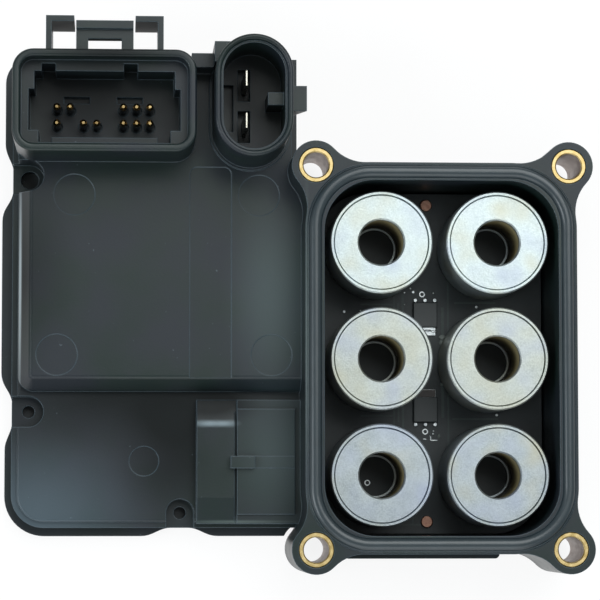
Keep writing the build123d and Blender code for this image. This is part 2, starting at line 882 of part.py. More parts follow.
# Back cover
# A moulded plate with a flange around the housing, notched at the pockets and round the ears.
flange_high = body_left - flange_reach_high
flange_middle = body_left - flange_reach_middle
flange_low = body_left - flange_reach_low
flange_foot = body_low - flange_reach_high
side_notches = [
    (high_pocket_y, flange_middle, flange_high), (middle_pocket_y, flange_low, flange_middle)
]
with BuildPart() as back_cover:
    with BuildSketch() as cover_plan:
        draw_field(flange_low, flange_foot, body_join, body_top_join)
        draw_field(flange_middle, middle_pocket_y, body_join, high_pocket_y)
        draw_field(
            flange_high, high_pocket_y,
            body_right_high + flange_reach_high, body_high + flange_reach_high,
        )
        round_corner(cover_plan, flange_low, flange_foot, body_low_corner + flange_reach_low)
        round_corner(
            cover_plan, flange_high, body_high + flange_reach_high,
            body_high_corner + flange_reach_high,
        )
        draw_frame(0)
        with Locations((
            frame_shift_x - frame_flange_shift,
            frame_shift_y - frame_height / 2 + frame_corner / 2 - frame_flange_reach,
        )):
            RectangleRounded(frame_flange_length, frame_corner, frame_flange_round)
        notch_ends = []
        for y, below, above in side_notches:
            low_mouth = y - notch_mouth / 2
            high_mouth = y + notch_mouth / 2
            ends = [
                (above, high_mouth), (body_left, y + notch_length / 2),
                (body_left, y - notch_length / 2), (below, low_mouth),
            ]
            with BuildLine():
                Polyline(
                    *ends, (flange_middle - overrun, low_mouth),
                    (flange_middle - overrun, high_mouth), close=True,
                )
            make_face(mode=Mode.SUBTRACT)
            notch_ends += ends
        x = low_pocket[0]
        ends = [
            (x - notch_mouth / 2, flange_foot), (x - notch_length / 2, body_low),
            (x + notch_length / 2, body_low), (x + notch_mouth / 2, flange_foot),
        ]
        with BuildLine():
            Polyline(*ends, close=True)
        make_face(mode=Mode.SUBTRACT)
        notch_ends += ends
        corners = [
            cover_plan.vertices().sort_by_distance((*end, 0))[0] for end in notch_ends
        ]
        fillet(corners, notch_round)
        with Locations(*ear_places):
            Circle(ear_radius + ear_clearance, mode=Mode.SUBTRACT)
    extrude(amount=cover_thick)
    for left, low, right, high in back_fields:
        with BuildSketch():
            with Locations(((left + right) / 2, (low + high) / 2)):
                RectangleRounded(right - left, high - low, back_corner)
        extrude(amount=back_depth, mode=Mode.SUBTRACT)
    with BuildSketch(Plane.XY.offset(cover_thick)):
        with Locations(*post_places):
            Circle(post_radius)
    extrude(amount=board_gap)

hand_over(back_cover.part, "back_cover")


# Seal of the frame
# A rubber cord that the valve block squeezes into the groove of the lip.
with BuildPart() as mounting_seal:
    with BuildSketch(Plane.XY.offset(groove_foot)):
        draw_frame(groove_inset)
        draw_frame(groove_inset + groove_width, mode=Mode.SUBTRACT)
    extrude(amount=groove_depth + seal_proud)
    crown = mounting_seal.faces().sort_by(Axis.Z)[-1]
    fillet(crown.edges(), seal_round)

hand_over(mounting_seal.part, "mounting_seal")


# Bushings
# Four turned brass tubes pressed into the ears, so that the screws don't crush the plastic.
for number, place in enumerate(ear_places, start=1):
    with BuildPart() as bushing:
        with BuildSketch(Plane.XY.offset(bushing_level)):
            with Locations(place):
                Circle(ear_bore_radius)
                Circle(bushing_hole_radius, mode=Mode.SUBTRACT)
        extrude(amount=bushing_length)
        end_face = bushing.faces().sort_by(Axis.Z)[-1]
        chamfer(end_face.edges(), bushing_chamfer)
    hand_over(bushing.part, f"bushing_{number}")


# Circuit board
# One glass-fibre board under the whole housing, drilled for the pins, blades, coils and rivets.
foot_places = [(x, y + way * coil_foot_reach) for x, y in coil_places for way in (1, -1)]
with BuildPart() as circuit_board:
    with BuildSketch(Plane.XY.offset(board_level)):
        add(inner_plan.sketch)
        offset(amount=-board_clearance, mode=Mode.REPLACE)
        with Locations(*pin_places):
            Circle(pin_radius + slip, mode=Mode.SUBTRACT)
        with Locations(*foot_places):
            Circle(coil_pin_radius + slip, mode=Mode.SUBTRACT)
        with Locations(*rivet_places):
            Circle(rivet_radius + slip, mode=Mode.SUBTRACT)
        with Locations(*[(blade_x, place) for place in blade_places]):
            Rectangle(blade_thick + 2 * slip, blade_width + 2 * slip, mode=Mode.SUBTRACT)
    extrude(amount=board_thick)

hand_over(circuit_board.part, "circuit_board")


# Board rivets
# Two copper rivets on the line between the coils, which earth the board and hold it to its posts.
with BuildPart() as board_rivets:
    with BuildSketch(Plane.XY.offset(board_level)):
        with Locations(*rivet_places):
            Circle(rivet_radius)
    extrude(amount=board_thick)
    with BuildSketch(Plane.XY.offset(board_top)):
        with Locations(*rivet_places):
            Circle(rivet_head_radius)
    extrude(amount=rivet_head)
    heads = board_rivets.faces().filter_by(Axis.Z).group_by(Axis.Z)[-1]
    fillet(heads.edges(), rivet_round)

hand_over(board_rivets.part, "board_rivets")


# Signal pins
# Eleven round gold-plated pins, fixed in the floor of their shroud and soldered to the board.
with BuildPart() as signal_pins:
    with BuildSketch(Plane.XY.offset(board_level - pin_tail)):
        with Locations(*pin_places):
            Circle(pin_radius)
    extrude(amount=pin_level - board_level + pin_tail)
    tips = signal_pins.faces().filter_by(Axis.Z).group_by(Axis.Z)[-1]
    chamfer(tips.edges(), pin_tip)

hand_over(signal_pins.part, "signal_pins")


# Motor blades
# Two flat tinned blades that feed the pump motor.
for place, name in zip(blade_places, ("upper", "lower")):
    with BuildPart() as motor_blade:
        with BuildSketch(Plane.XZ.offset(-place - blade_width / 2)):
            with BuildLine():
                Polyline(
                    (blade_x - blade_thick / 2, board_level - pin_tail),
                    (blade_x + blade_thick / 2, board_level - pin_tail),
                    (blade_x + blade_thick / 2, blade_level - blade_tip),
                    (blade_x + blade_thick / 2 - blade_tip_cut, blade_level),
                    (blade_x - blade_thick / 2 + blade_tip_cut, blade_level),
                    (blade_x - blade_thick / 2, blade_level - blade_tip),
                    close=True,
                )
            make_face()
        extrude(amount=blade_width)
    hand_over(motor_blade.part, f"motor_blade_{name}")


# Parts on the board
def stand_chip(x, y, width, length, height, name):
    """Stands one moulded chip on the board, with its upper edges bevelled."""
    with BuildPart() as chip:
        with BuildSketch(Plane.XY.offset(board_top)):
            with Locations((x, y)):
                Rectangle(width, length)
        extrude(amount=height)
        chamfer(chip.faces().sort_by(Axis.Z)[-1].edges(), chip_bevel)
    hand_over(chip.part, name)


for name, end in (("driver_chip_upper", 1), ("driver_chip_lower", -1)):
    stand_chip(driver_x, end * driver_reach, driver_width, driver_length, driver_height, name)
stand_chip(
    body_left + processor_inset, processor_rise, processor_side, processor_side,
    processor_height, "processor",
)
for number in (1, 2):
    stand_chip(
        frame_left - transistor_inset, transistor_low + (number - 1) * transistor_pitch,
        transistor_width, transistor_length, transistor_height, f"motor_transistor_{number}",
    )

with BuildPart() as smoothing_capacitor:
    with BuildSketch(Plane.XY.offset(board_top)):
        with Locations((body_left + capacitor_inset, capacitor_rise)):
            Circle(capacitor_radius)
    extrude(amount=capacitor_height)
    fillet(smoothing_capacitor.faces().sort_by(Axis.Z)[-1].edges(), capacitor_round)

hand_over(smoothing_capacitor.part, "smoothing_capacitor")

heat_tab_reach = driver_reach - driver_length / 2 - heat_tab_length / 2
solder_reach = driver_reach + driver_length / 2 + solder_gap
solder_places = [
    (driver_x + step * solder_pitch, end * solder_reach) for step in (-1, 0, 1) for end in (1, -1)
]
with BuildPart() as small_parts:
    with BuildSketch(Plane.XY.offset(board_top)):
        with Locations((driver_x, heat_tab_reach), (driver_x, -heat_tab_reach)):
            Rectangle(heat_tab_width, heat_tab_length)
    extrude(amount=heat_tab_thick)
    with BuildSketch(Plane.XY.offset(board_top)):
        with Locations(*solder_places):
            Circle(solder_radius)
    extrude(amount=solder_height)

hand_over(small_parts.part, "small_parts")


# Solenoid coils
# Each is a steel can with an end plate pressed into it, around a plastic bobbin and its winding.
# Two feet of the bobbin stand on the board, and its pins go through them.
can_foot = board_top + can_lift
can_inside = can_foot + can_floor
plate_top = can_level - plate_sink
plate_foot = plate_top - plate_thick
for number, (x, y) in enumerate(coil_places, start=1):
    feet = [(x, y + way * coil_foot_reach) for way in (1, -1)]

    with BuildPart() as coil_can:
        with BuildSketch(Plane.XY.offset(can_foot)):
            with Locations((x, y)):
                Circle(can_radius)
                Circle(valve_hole_radius, mode=Mode.SUBTRACT)
            with Locations(*feet):
                Circle(coil_foot_radius + slip, mode=Mode.SUBTRACT)
        extrude(amount=can_level - can_foot)
        with BuildSketch(Plane.XY.offset(can_inside)):
            with Locations((x, y)):
                Circle(can_radius - can_wall)
        extrude(amount=can_level - can_inside + overrun, mode=Mode.SUBTRACT)
        outer_edges = coil_can.edges().filter_by(GeomType.CIRCLE).filter_by(
            lambda edge: abs(edge.radius - can_radius) < slip
        ).sort_by(Axis.Z)
        fillet(outer_edges[0], can_foot_round)
        outer_edges = coil_can.edges().filter_by(GeomType.CIRCLE).filter_by(
            lambda edge: abs(edge.radius - can_radius) < slip
        ).sort_by(Axis.Z)
        chamfer(outer_edges[-1], can_rim_cut)
    hand_over(coil_can.part, f"coil_can_{number}")

    with BuildPart() as coil_plate:
        with BuildSketch(Plane.XY.offset(plate_foot)):
            with Locations((x, y)):
                Circle(can_radius - can_wall)
                Circle(bore_radius, mode=Mode.SUBTRACT)
        extrude(amount=plate_thick)
        top_edges = coil_plate.faces().sort_by(Axis.Z)[-1].edges()
        chamfer(top_edges, plate_cut)
    hand_over(coil_plate.part, f"coil_plate_{number}")

    with BuildPart() as coil_bobbin:
        for foot, hole_radius in (
            (can_inside, bobbin_end_radius), (plate_foot - flange_thick, bobbin_bore_radius)
        ):
            with BuildSketch(Plane.XY.offset(foot)):
                with Locations((x, y)):
                    Circle(bobbin_flange_radius)
                    Circle(hole_radius, mode=Mode.SUBTRACT)
            extrude(amount=flange_thick)
        with BuildSketch(Plane.XY.offset(can_inside + flange_thick)):
            with Locations((x, y)):
                Circle(bobbin_bore_radius + bobbin_wall)
                Circle(bobbin_bore_radius, mode=Mode.SUBTRACT)
        extrude(amount=plate_foot - can_inside - flange_thick)
        with BuildSketch(Plane.XY.offset(board_top)):
            with Locations(*feet):
                Circle(coil_foot_radius)
        extrude(amount=can_inside - board_top)
        with BuildSketch(Plane.XY.offset(board_top - overrun)):
            with Locations(*feet):
                Circle(coil_pin_radius)
        extrude(amount=can_inside + flange_thick - board_top + overrun, mode=Mode.SUBTRACT)
    hand_over(coil_bobbin.part, f"coil_bobbin_{number}")

    with BuildPart() as coil_winding:
        with BuildSketch(Plane.XY.offset(can_inside + flange_thick)):
            with Locations((x, y)):
                Circle(winding_radius)
                Circle(bobbin_bore_radius + bobbin_wall, mode=Mode.SUBTRACT)
        extrude(amount=plate_foot - can_inside - 2 * flange_thick)
    hand_over(coil_winding.part, f"coil_winding_{number}")

    with BuildPart() as coil_pins:
        with BuildSketch(Plane.XY.offset(board_level - pin_tail)):
            with Locations(*feet):
                Circle(coil_pin_radius)
        extrude(amount=can_inside + flange_thick - board_level + pin_tail)
    hand_over(coil_pins.part, f"coil_pins_{number}")
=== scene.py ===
import bpy
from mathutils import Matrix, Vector


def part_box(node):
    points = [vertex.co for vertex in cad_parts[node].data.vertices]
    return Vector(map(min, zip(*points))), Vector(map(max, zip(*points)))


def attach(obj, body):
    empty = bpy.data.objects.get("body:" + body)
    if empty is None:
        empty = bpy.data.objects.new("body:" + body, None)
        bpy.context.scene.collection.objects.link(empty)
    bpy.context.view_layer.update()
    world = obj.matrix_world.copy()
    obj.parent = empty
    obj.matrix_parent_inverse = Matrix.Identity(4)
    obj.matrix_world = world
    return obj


# ABS control module, lying on its back cover with the solenoid coils facing up.
# Lengths are in metres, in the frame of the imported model.
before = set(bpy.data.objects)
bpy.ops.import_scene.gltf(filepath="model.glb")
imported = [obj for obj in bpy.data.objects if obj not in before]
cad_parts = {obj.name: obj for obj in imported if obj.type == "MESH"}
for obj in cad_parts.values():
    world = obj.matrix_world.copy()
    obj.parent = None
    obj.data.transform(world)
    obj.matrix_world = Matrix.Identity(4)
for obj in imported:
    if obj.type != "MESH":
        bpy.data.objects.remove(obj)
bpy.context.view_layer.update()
mm = 0.001


# Back cover
# A flat plate of glass-filled nylon, moulded with a flange around the housing. Its steel mould
# was spark-eroded, which leaves an even satin grain.
def linear(code):
    """Turns an sRGB hex colour into linear values."""
    parts = [int(code[n : n + 2], 16) / 255 for n in (1, 3, 5)]
    return [c / 12.92 if c <= 0.04045 else ((c + 0.055) / 1.055) ** 2.4 for c in parts] + [1.0]


def start_material(name):
    """Starts an empty node material."""
    material = bpy.data.materials.new(name)
    material.use_nodes = True
    material.node_tree.nodes.clear()
    return material


def add_node(material, kind, values=None, links=None, **settings):
    """Adds a node with its settings, its plain inputs and the sockets that feed it."""
    node = material.node_tree.nodes.new(kind)
    for name, value in settings.items():
        setattr(node, name, value)
    for name, value in (values or {}).items():
        node.inputs[name].default_value = value
    for name, source in (links or {}).items():
        material.node_tree.links.new(source, node.inputs[name])
    return node


def dress(material, *names):
    """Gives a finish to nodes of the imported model."""
    for name in names:
        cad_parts[name].material_slots[0].material = material


def soft_spots(material, place, spots):
    """Adds up soft spots, each with a centre and reaches in mm and a strength."""
    total = None
    for centre, reach, strength in spots:
        moved = add_node(
            material, "ShaderNodeMapping",
            {"Location": [c * mm for c in centre], "Scale": [r * mm for r in reach]},
            {"Vector": place}, vector_type="TEXTURE",
        ).outputs["Vector"]
        ball = add_node(
            material, "ShaderNodeTexGradient", links={"Vector": moved}, gradient_type="SPHERICAL"
        ).outputs["Fac"]
        smooth = add_node(
            material, "ShaderNodeMapRange", {"To Max": strength}, {"Value": ball},
            interpolation_type="SMOOTHSTEP",
        ).outputs["Result"]
        if total is None:
            total = smooth
        else:
            total = add_node(
                material, "ShaderNodeMath", links={0: total, 1: smooth}, operation="ADD",
                use_clamp=True,
            ).outputs["Value"]
    return total


def share_below(material, place, low, high):
    """Share that grows from none at one height to all at a lower one, both in mm."""
    height = add_node(material, "ShaderNodeSeparateXYZ", links={"Vector": place}).outputs["Z"]
    return add_node(
        material, "ShaderNodeMapRange", {"From Min": high * mm, "From Max": low * mm},
        {"Value": height},
    ).outputs["Result"]


def moulded_nylon(
    name, base, clouds, edge, gloss_low, gloss_high, painted_sheen_spots=(), painted_shade_spots=(), bright=(),
    painted_shade_below=None
):
    """Glass-filled nylon from a spark-eroded mould: cloudy, satin, and paler on its edges with
    wear and a painted highlight.

    Spots of painted sheen are pale, each group in its own colour; spots of painted shade are dark,
    with a weaker mirror; and bright spots are painted highlights on folds, over the others. Dark
    below is painted shade that deepens downwards, given as two heights in mm and a colour.
    """
    # The grain is 0.1 mm on the real one and is drawn at 0.5 mm, so that it shows.
    grain_size, grain_depth, edge_radius = 0.5 * mm, 0.03 * mm, 0.3 * mm
    dust_size, cloud_size = 0.9 * mm, 15 * mm
    mirror, shaded_mirror = 0.35, 0.14
    material = start_material(name)
    place = add_node(material, "ShaderNodeTexCoord").outputs["Object"]
    cloud, grain, dust = [
        add_node(
            material, "ShaderNodeTexNoise", {"Scale": 1 / size, "Detail": detail},
            {"Vector": place},
        ).outputs["Fac"]
        for size, detail in ((cloud_size, 4.0), (grain_size, 2.0), (dust_size, 1.0))
    ]
    clouded = add_node(
        material, "ShaderNodeMapRange", {"From Min": 0.38, "From Max": 0.62}, {"Value": cloud}
    ).outputs["Result"]
    colour = add_node(
        material, "ShaderNodeMix", {6: linear(base), 7: linear(clouds)}, {0: clouded},
        data_type="RGBA",
    ).outputs[2]

    # An edge is paler where its rounded normal leaves the flat one, partly wear and partly a
    # painted highlight, and a little dust lies about.
    rounded = add_node(
        material, "ShaderNodeBevel", {"Radius": edge_radius}, samples=6
    ).outputs["Normal"]
    flat = add_node(material, "ShaderNodeNewGeometry").outputs["Normal"]
    facing = add_node(
        material, "ShaderNodeVectorMath", links={0: rounded, 1: flat}, operation="DOT_PRODUCT"
    ).outputs["Value"]
    edge_wear_and_highlight = add_node(
        material, "ShaderNodeMapRange", {"From Min": 0.995, "From Max": 0.86}, {"Value": facing}
    ).outputs["Result"]
    dusty = add_node(
        material, "ShaderNodeMapRange", {"From Min": 0.79, "From Max": 0.84, "To Max": 0.45},
        {"Value": dust},
    ).outputs["Result"]

    fed = {}
    # Painted sheen: pale patches of painted light, each group in its own colour.
    layers = [(soft_spots(material, place, spots), tint) for tint, spots in painted_sheen_spots]
    # Painted shade: dark spots with a weaker mirror, where the light reaches little.
    if painted_shade_spots:
        shade_share = soft_spots(material, place, painted_shade_spots)
        layers.append((shade_share, "#0b1011"))
        fed["Specular IOR Level"] = add_node(
            material, "ShaderNodeMapRange", {"To Min": mirror, "To Max": shaded_mirror},
            {"Value": shade_share},
        ).outputs["Result"]
    # Painted highlights: light streaks on folds, laid over the painted shade.
    layers += [(soft_spots(material, place, spots), tint) for tint, spots in bright]
    layers += [(edge_wear_and_highlight, edge), (dusty, "#66727a")]
    # Painted shade that deepens downwards.
    if painted_shade_below:
        low, high, below = painted_shade_below
        layers.append((share_below(material, place, low, high), below))
    for share, tint in layers:
        colour = add_node(
            material, "ShaderNodeMix", {7: linear(tint)}, {0: share, 6: colour}, data_type="RGBA"
        ).outputs[2]

    gloss = add_node(
        material, "ShaderNodeMapRange",
        {"From Min": 0.3, "From Max": 0.7, "To Min": gloss_low, "To Max": gloss_high},
        {"Value": cloud},
    ).outputs["Result"]
    bump = add_node(
        material, "ShaderNodeBump", {"Strength": 0.35, "Distance": grain_depth},
        {"Height": grain, "Normal": rounded},
    ).outputs["Normal"]
    shader = add_node(
        material, "ShaderNodeBsdfPrincipled", {"IOR": 1.53, "Specular IOR Level": mirror},
        {"Base Color": colour, "Roughness": gloss, "Normal": bump, **fed},
    ).outputs["BSDF"]
    add_node(material, "ShaderNodeOutputMaterial", links={"Surface": shader})
    return material


cover_nylon = moulded_nylon(
    "cover_nylon", base="#121c1d", clouds="#161d22", edge="#2c383d", gloss_low=0.4, gloss_high=0.5
)
dress(cover_nylon, "back_cover")


# Sealant
# A bead of silicone, squeezed flat between the cover and the housing's edge, which it glues
# together as it cures. Its skin ripples a little and looks soft and even.
silicone = start_material("cured_silicone")
place = add_node(silicone, "ShaderNodeTexCoord").outputs["Object"]
ripple_size, ripple_depth = 1.6 * mm, 0.1 * mm
ripple = add_node(
    silicone, "ShaderNodeTexNoise", {"Scale": 1 / ripple_size, "Detail": 1.0}, {"Vector": place}
).outputs["Fac"]
bump = add_node(
    silicone, "ShaderNodeBump", {"Strength": 0.5, "Distance": ripple_depth}, {"Height": ripple}
).outputs["Normal"]
shader = add_node(
    silicone, "ShaderNodeBsdfPrincipled",
    {"Base Color": linear("#2a2e30"), "Roughness": 0.5, "IOR": 1.41}, {"Normal": bump},
).outputs["BSDF"]
add_node(silicone, "ShaderNodeOutputMaterial", links={"Surface": shader})
dress(silicone, "cover_seal")


# Circuit board
# Glass-fibre laminate under black solder resist, held inside the housing. The thin resist dries
# satin and shows the weave of the glass faintly.
def coating(name, dark, light):
    """Resist or lacquer with small specks, over the weave of the laminate."""
    material = start_material(name)
    place = add_node(material, "ShaderNodeTexCoord").outputs["Object"]
    weave_pitch, weave_depth, speck_size = 0.6 * mm, 0.02 * mm, 1.2 * mm
    weave = add_node(
        material, "ShaderNodeTexBrick",
        {"Scale": 1 / weave_pitch, "Mortar Size": 0.08, "Mortar Smooth": 1.0, "Brick Width": 1.0,
         "Row Height": 1.0},
        {"Vector": place},
    ).outputs["Fac"]
    specks = add_node(
        material, "ShaderNodeTexNoise", {"Scale": 1 / speck_size, "Detail": 3.0}, {"Vector": place}
    ).outputs["Fac"]
    colour = add_node(
        material, "ShaderNodeMix", {6: linear(dark), 7: linear(light)}, {0: specks},
        data_type="RGBA",
    ).outputs[2]
    bump = add_node(
        material, "ShaderNodeBump", {"Strength": 0.25, "Distance": weave_depth}, {"Height": weave}
    ).outputs["Normal"]
    shader = add_node(
        material, "ShaderNodeBsdfPrincipled", {"Roughness": 0.5, "IOR": 1.5},
        {"Base Color": colour, "Normal": bump},
    ).outputs["BSDF"]
    add_node(material, "ShaderNodeOutputMaterial", links={"Surface": shader})
    return material


resist = coating("black_solder_resist", "#151c1f", "#20292c")
dress(resist, "circuit_board")


# Board rivets
# Copper rivets beside the frame's upper and lower walls, set by a press. They have gone dull,
# with uneven brown patches.
def worn_metal(
    name, dark, light, patch_size, roughness, grain_size, grain_strength, grain_tone=0.0,
    tints=(), wall=None, painted_shade_below=None
):
    """Bare or plated metal with patches of colour and a fine grain in its surface.

    Two tints are for the weak stains of plating. A wall colour is given to upright faces. Dark
    below is painted shade that deepens downwards, given as two heights in mm and a colour.
    """
    # The grain of real metal is under 0.1 mm and is drawn at 0.3 mm or more, so that it shows.
    material = start_material(name)
    stain_size, stain_share, grain_depth = 7 * mm, 0.6, 0.03 * mm
    place = add_node(material, "ShaderNodeTexCoord").outputs["Object"]
    patch, grain = [
        add_node(
            material, "ShaderNodeTexNoise", {"Scale": 1 / size, "Detail": detail},
            {"Vector": place},
        ).outputs["Fac"]
        for size, detail in ((patch_size, 5.0), (grain_size, 2.0))
    ]
    tone = add_node(
        material, "ShaderNodeMath", {1: grain_tone}, {0: grain, 2: patch},
        operation="MULTIPLY_ADD",
    ).outputs["Value"]
    middle = 0.5 + grain_tone / 2
    contrast = 0.15 + grain_tone / 6
    patched = add_node(
        material, "ShaderNodeMapRange",
        {"From Min": middle - contrast, "From Max": middle + contrast}, {"Value": tone},
    ).outputs["Result"]
    colour = add_node(
        material, "ShaderNodeMix", {6: linear(dark), 7: linear(light)}, {0: patched},
        data_type="RGBA",
    ).outputs[2]

    layers = []
    if tints:
        stain = add_node(
            material, "ShaderNodeTexNoise", {"Scale": 1 / stain_size, "Detail": 1.0},
            {"Vector": place},
        ).outputs["Fac"]
        for tint, full in zip(tints, (0.2, 0.8)):
            share = add_node(
                material, "ShaderNodeMapRange",
                {"From Min": 0.5, "From Max": full, "To Max": stain_share}, {"Value": stain},
            ).outputs["Result"]
            layers.append((share, tint))
    if wall:
        normal = add_node(material, "ShaderNodeNewGeometry").outputs["Normal"]
        rise = add_node(
            material, "ShaderNodeSeparateXYZ", links={"Vector": normal}
        ).outputs["Z"]
        upright = add_node(
            material, "ShaderNodeMapRange", {"From Min": 0.5, "From Max": 0.1}, {"Value": rise}
        ).outputs["Result"]
        layers.append((upright, wall))
    # Painted shade that deepens downwards.
    if painted_shade_below:
        low, high, below = painted_shade_below
        layers.append((share_below(material, place, low, high), below))
    for share, tint in layers:
        colour = add_node(
            material, "ShaderNodeMix", {7: linear(tint)}, {0: share, 6: colour}, data_type="RGBA"
        ).outputs[2]

    gloss = add_node(
        material, "ShaderNodeMapRange",
        {"From Min": 0.3, "From Max": 0.7, "To Min": roughness * 0.85, "To Max": roughness * 1.15},
        {"Value": patch},
    ).outputs["Result"]
    bump = add_node(
        material, "ShaderNodeBump", {"Strength": grain_strength, "Distance": grain_depth},
        {"Height": grain},
    ).outputs["Normal"]
    shader = add_node(
        material, "ShaderNodeBsdfPrincipled", {"Metallic": 1.0},
        {"Base Color": colour, "Roughness": gloss, "Normal": bump},
    ).outputs["BSDF"]
    add_node(material, "ShaderNodeOutputMaterial", links={"Surface": shader})
    return material


copper = worn_metal(
    "dull_copper", "#8a6455", "#b08a78", patch_size=0.8 * mm, roughness=0.45,
    grain_size=0.3 * mm, grain_strength=0.4,
)
dress(copper, "board_rivets")


# Chips on the board
# Black epoxy, moulded around the silicon in a matt tool and soldered down. The fine matt surface
# looks dark grey. The big chips under the deck have the same finish.
epoxy = start_material("moulded_epoxy")
place = add_node(epoxy, "ShaderNodeTexCoord").outputs["Object"]
# The tool's matt grain is 0.05 mm on the real one and is drawn at 0.25 mm, so that it shows.
matt_size, matt_depth = 0.25 * mm, 0.02 * mm
matt = add_node(
    epoxy, "ShaderNodeTexNoise", {"Scale": 1 / matt_size, "Detail": 2.0}, {"Vector": place}
).outputs["Fac"]
colour = add_node(
    epoxy, "ShaderNodeMix", {6: linear("#232729"), 7: linear("#33393b")}, {0: matt},
    data_type="RGBA",
).outputs[2]
bump = add_node(
    epoxy, "ShaderNodeBump", {"Strength": 0.4, "Distance": matt_depth}, {"Height": matt}
).outputs["Normal"]
shader = add_node(
    epoxy, "ShaderNodeBsdfPrincipled", {"Roughness": 0.5, "IOR": 1.55},
    {"Base Color": colour, "Normal": bump},
).outputs["BSDF"]
add_node(epoxy, "ShaderNodeOutputMaterial", links={"Surface": shader})
dress(
    epoxy, "driver_chip_upper", "driver_chip_lower", "processor", "motor_transistor_1",
    "motor_transistor_2",
)


# Solder, heat tabs and coil pins
# Tin that was melted onto the chips' leads and tabs, bright where it has flowed. The coils' pins
# stand in the board and are soldered with the same tin.
tin = worn_metal(
    "bright_tin", "#9da3a6", "#c9cdce", patch_size=0.7 * mm, roughness=0.32,
    grain_size=0.3 * mm, grain_strength=0.3,
)
coil_numbers = range(1, 7)
dress(tin, "small_parts", *[f"coil_pins_{n}" for n in coil_numbers])


# Board details
# Solder, plated holes, tracks and lacquer on the board between the coils. They are drawn flat,
# with x, y and widths in mm and z in metres, and are then raised.
board_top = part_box("circuit_board")[1].z
track_height, lump_height = 0.05 * mm, 0.12 * mm


def open_piece(name):
    """Starts a piece and leaves it empty in edit mode."""
    bpy.ops.object.select_all(action="DESELECT")
    bpy.ops.mesh.primitive_plane_add(size=1.0, location=(0, 0, 0))
    piece = bpy.context.object
    piece.name = name
    bpy.ops.object.mode_set(mode="EDIT")
    bpy.ops.mesh.select_all(action="SELECT")
    bpy.ops.mesh.delete(type="VERT")
    return piece


def close_piece(piece, material):
    """Turns the faces outwards, gives the piece its finish and hangs it on the frame."""
    bpy.ops.mesh.select_all(action="SELECT")
    bpy.ops.mesh.normals_make_consistent(inside=False)
    bpy.ops.object.mode_set(mode="OBJECT")
    piece.data.materials.append(material)
    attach(piece, "root")


def draw_disc(x, y, z, radius, steps=24):
    """Adds a flat disc."""
    bpy.ops.mesh.primitive_circle_add(
        vertices=steps, radius=radius * mm, fill_type="NGON", location=(x * mm, y * mm, z)
    )


def draw_strip(x, y, z, width, length):
    """Adds a flat strip along x and y."""
    place = (x * mm, y * mm, z)
    bpy.ops.mesh.primitive_plane_add(size=1.0, location=place)
    bpy.ops.transform.resize(value=(width * mm, length * mm, 1.0), center_override=place)


def draw_patch(x, y, z, width, length):
    """Adds a flat oval patch, as a disc 1 mm across that is stretched."""
    draw_disc(x, y, z, 0.5)
    bpy.ops.transform.resize(value=(width, length, 1.0), center_override=(x * mm, y * mm, z))


def raise_flat(height):
    """Raises every flat face into a solid."""
    bpy.ops.mesh.select_all(action="SELECT")
    bpy.ops.mesh.extrude_region_move(TRANSFORM_OT_translate={"value": (0, 0, height)})


def dome(steps):
    """Draws the selected tops in and up, a step at a time, given in mm."""
    for inset, rise in steps:
        bpy.ops.mesh.inset(thickness=inset * mm, use_individual=True)
        bpy.ops.transform.translate(value=(0, 0, rise * mm))


# Domes of solder on the chips' leads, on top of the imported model's solder, and on single holes
lead_solder = 0.28 * mm
solder_top = board_top + lead_solder
chip_x, lead_pitch, lead_reach, lead_radius = -1.45, 2.12, 13.5, 0.44
solder_domes = open_piece("solder_domes")
for side in (1, -1):
    for step in (-1, 0, 1):
        draw_disc(chip_x + step * lead_pitch, side * lead_reach, solder_top, lead_radius)
for x, y, radius in [
    (-4.0, 15.3, 0.34), (0.4, 15.1, 0.2), (-5.9, 15.2, 0.2), (-4.6, 16.1, 0.2), (-5.9, 12.6, 0.16),
    (-19.1, 11.0, 0.32), (-15.5, 11.2, 0.2), (9.85, 12.1, 0.32), (14.15, -11.4, 0.32),
    (0.3, -14.9, 0.2), (0.25, -15.5, 0.22), (4.4, 18.75, 0.16), (-0.5, -16.0, 0.16),
]:
    draw_disc(x, y, board_top, radius, 16)
raise_flat(lump_height)
dome([(0.05, 0.05), (0.05, 0.03)])
close_piece(solder_domes, tin)

# Plated holes, seen as bright rings, and two open tracks
plated_rings = open_piece("plated_rings")
for x, y, outer, inner in [
    (-2.05, 14.85, 0.62, 0.4), (-1.47, -15.03, 0.62, 0.4), (-14.1, -26.1, 0.62, 0.42),
]:
    draw_disc(x, y, board_top, outer)
    bpy.ops.mesh.inset(thickness=(outer - inner) * mm)
    bpy.ops.mesh.delete(type="FACE")
for x, y, width, length in [
    (-0.27, -16.5, 0.14, 0.9), (0.45, -16.9, 1.5, 0.14), (-1.6, -16.65, 0.7, 0.14),
]:
    draw_strip(x, y, board_top, width, length)
raise_flat(track_height)
close_piece(plated_rings, tin)

# Solder on the upper chip's tab, parted by a dark crease
tab_thick, tab_reach, tab_width, tab_length = 0.5 * mm, 6.75, 4.3, 1.6
solder_skin = 0.08 * mm
tab_top = board_top + tab_thick
tab_solder = open_piece("tab_solder")
for x, y, width, length in [(-0.9, 6.95, 1.5, 0.42), (0.35, 6.75, 1.3, 0.5)]:
    draw_patch(x, y, tab_top, width, length)
raise_flat(solder_skin)
dome([(0.08, 0.06), (0.06, 0.03)])
close_piece(tab_solder, tin)

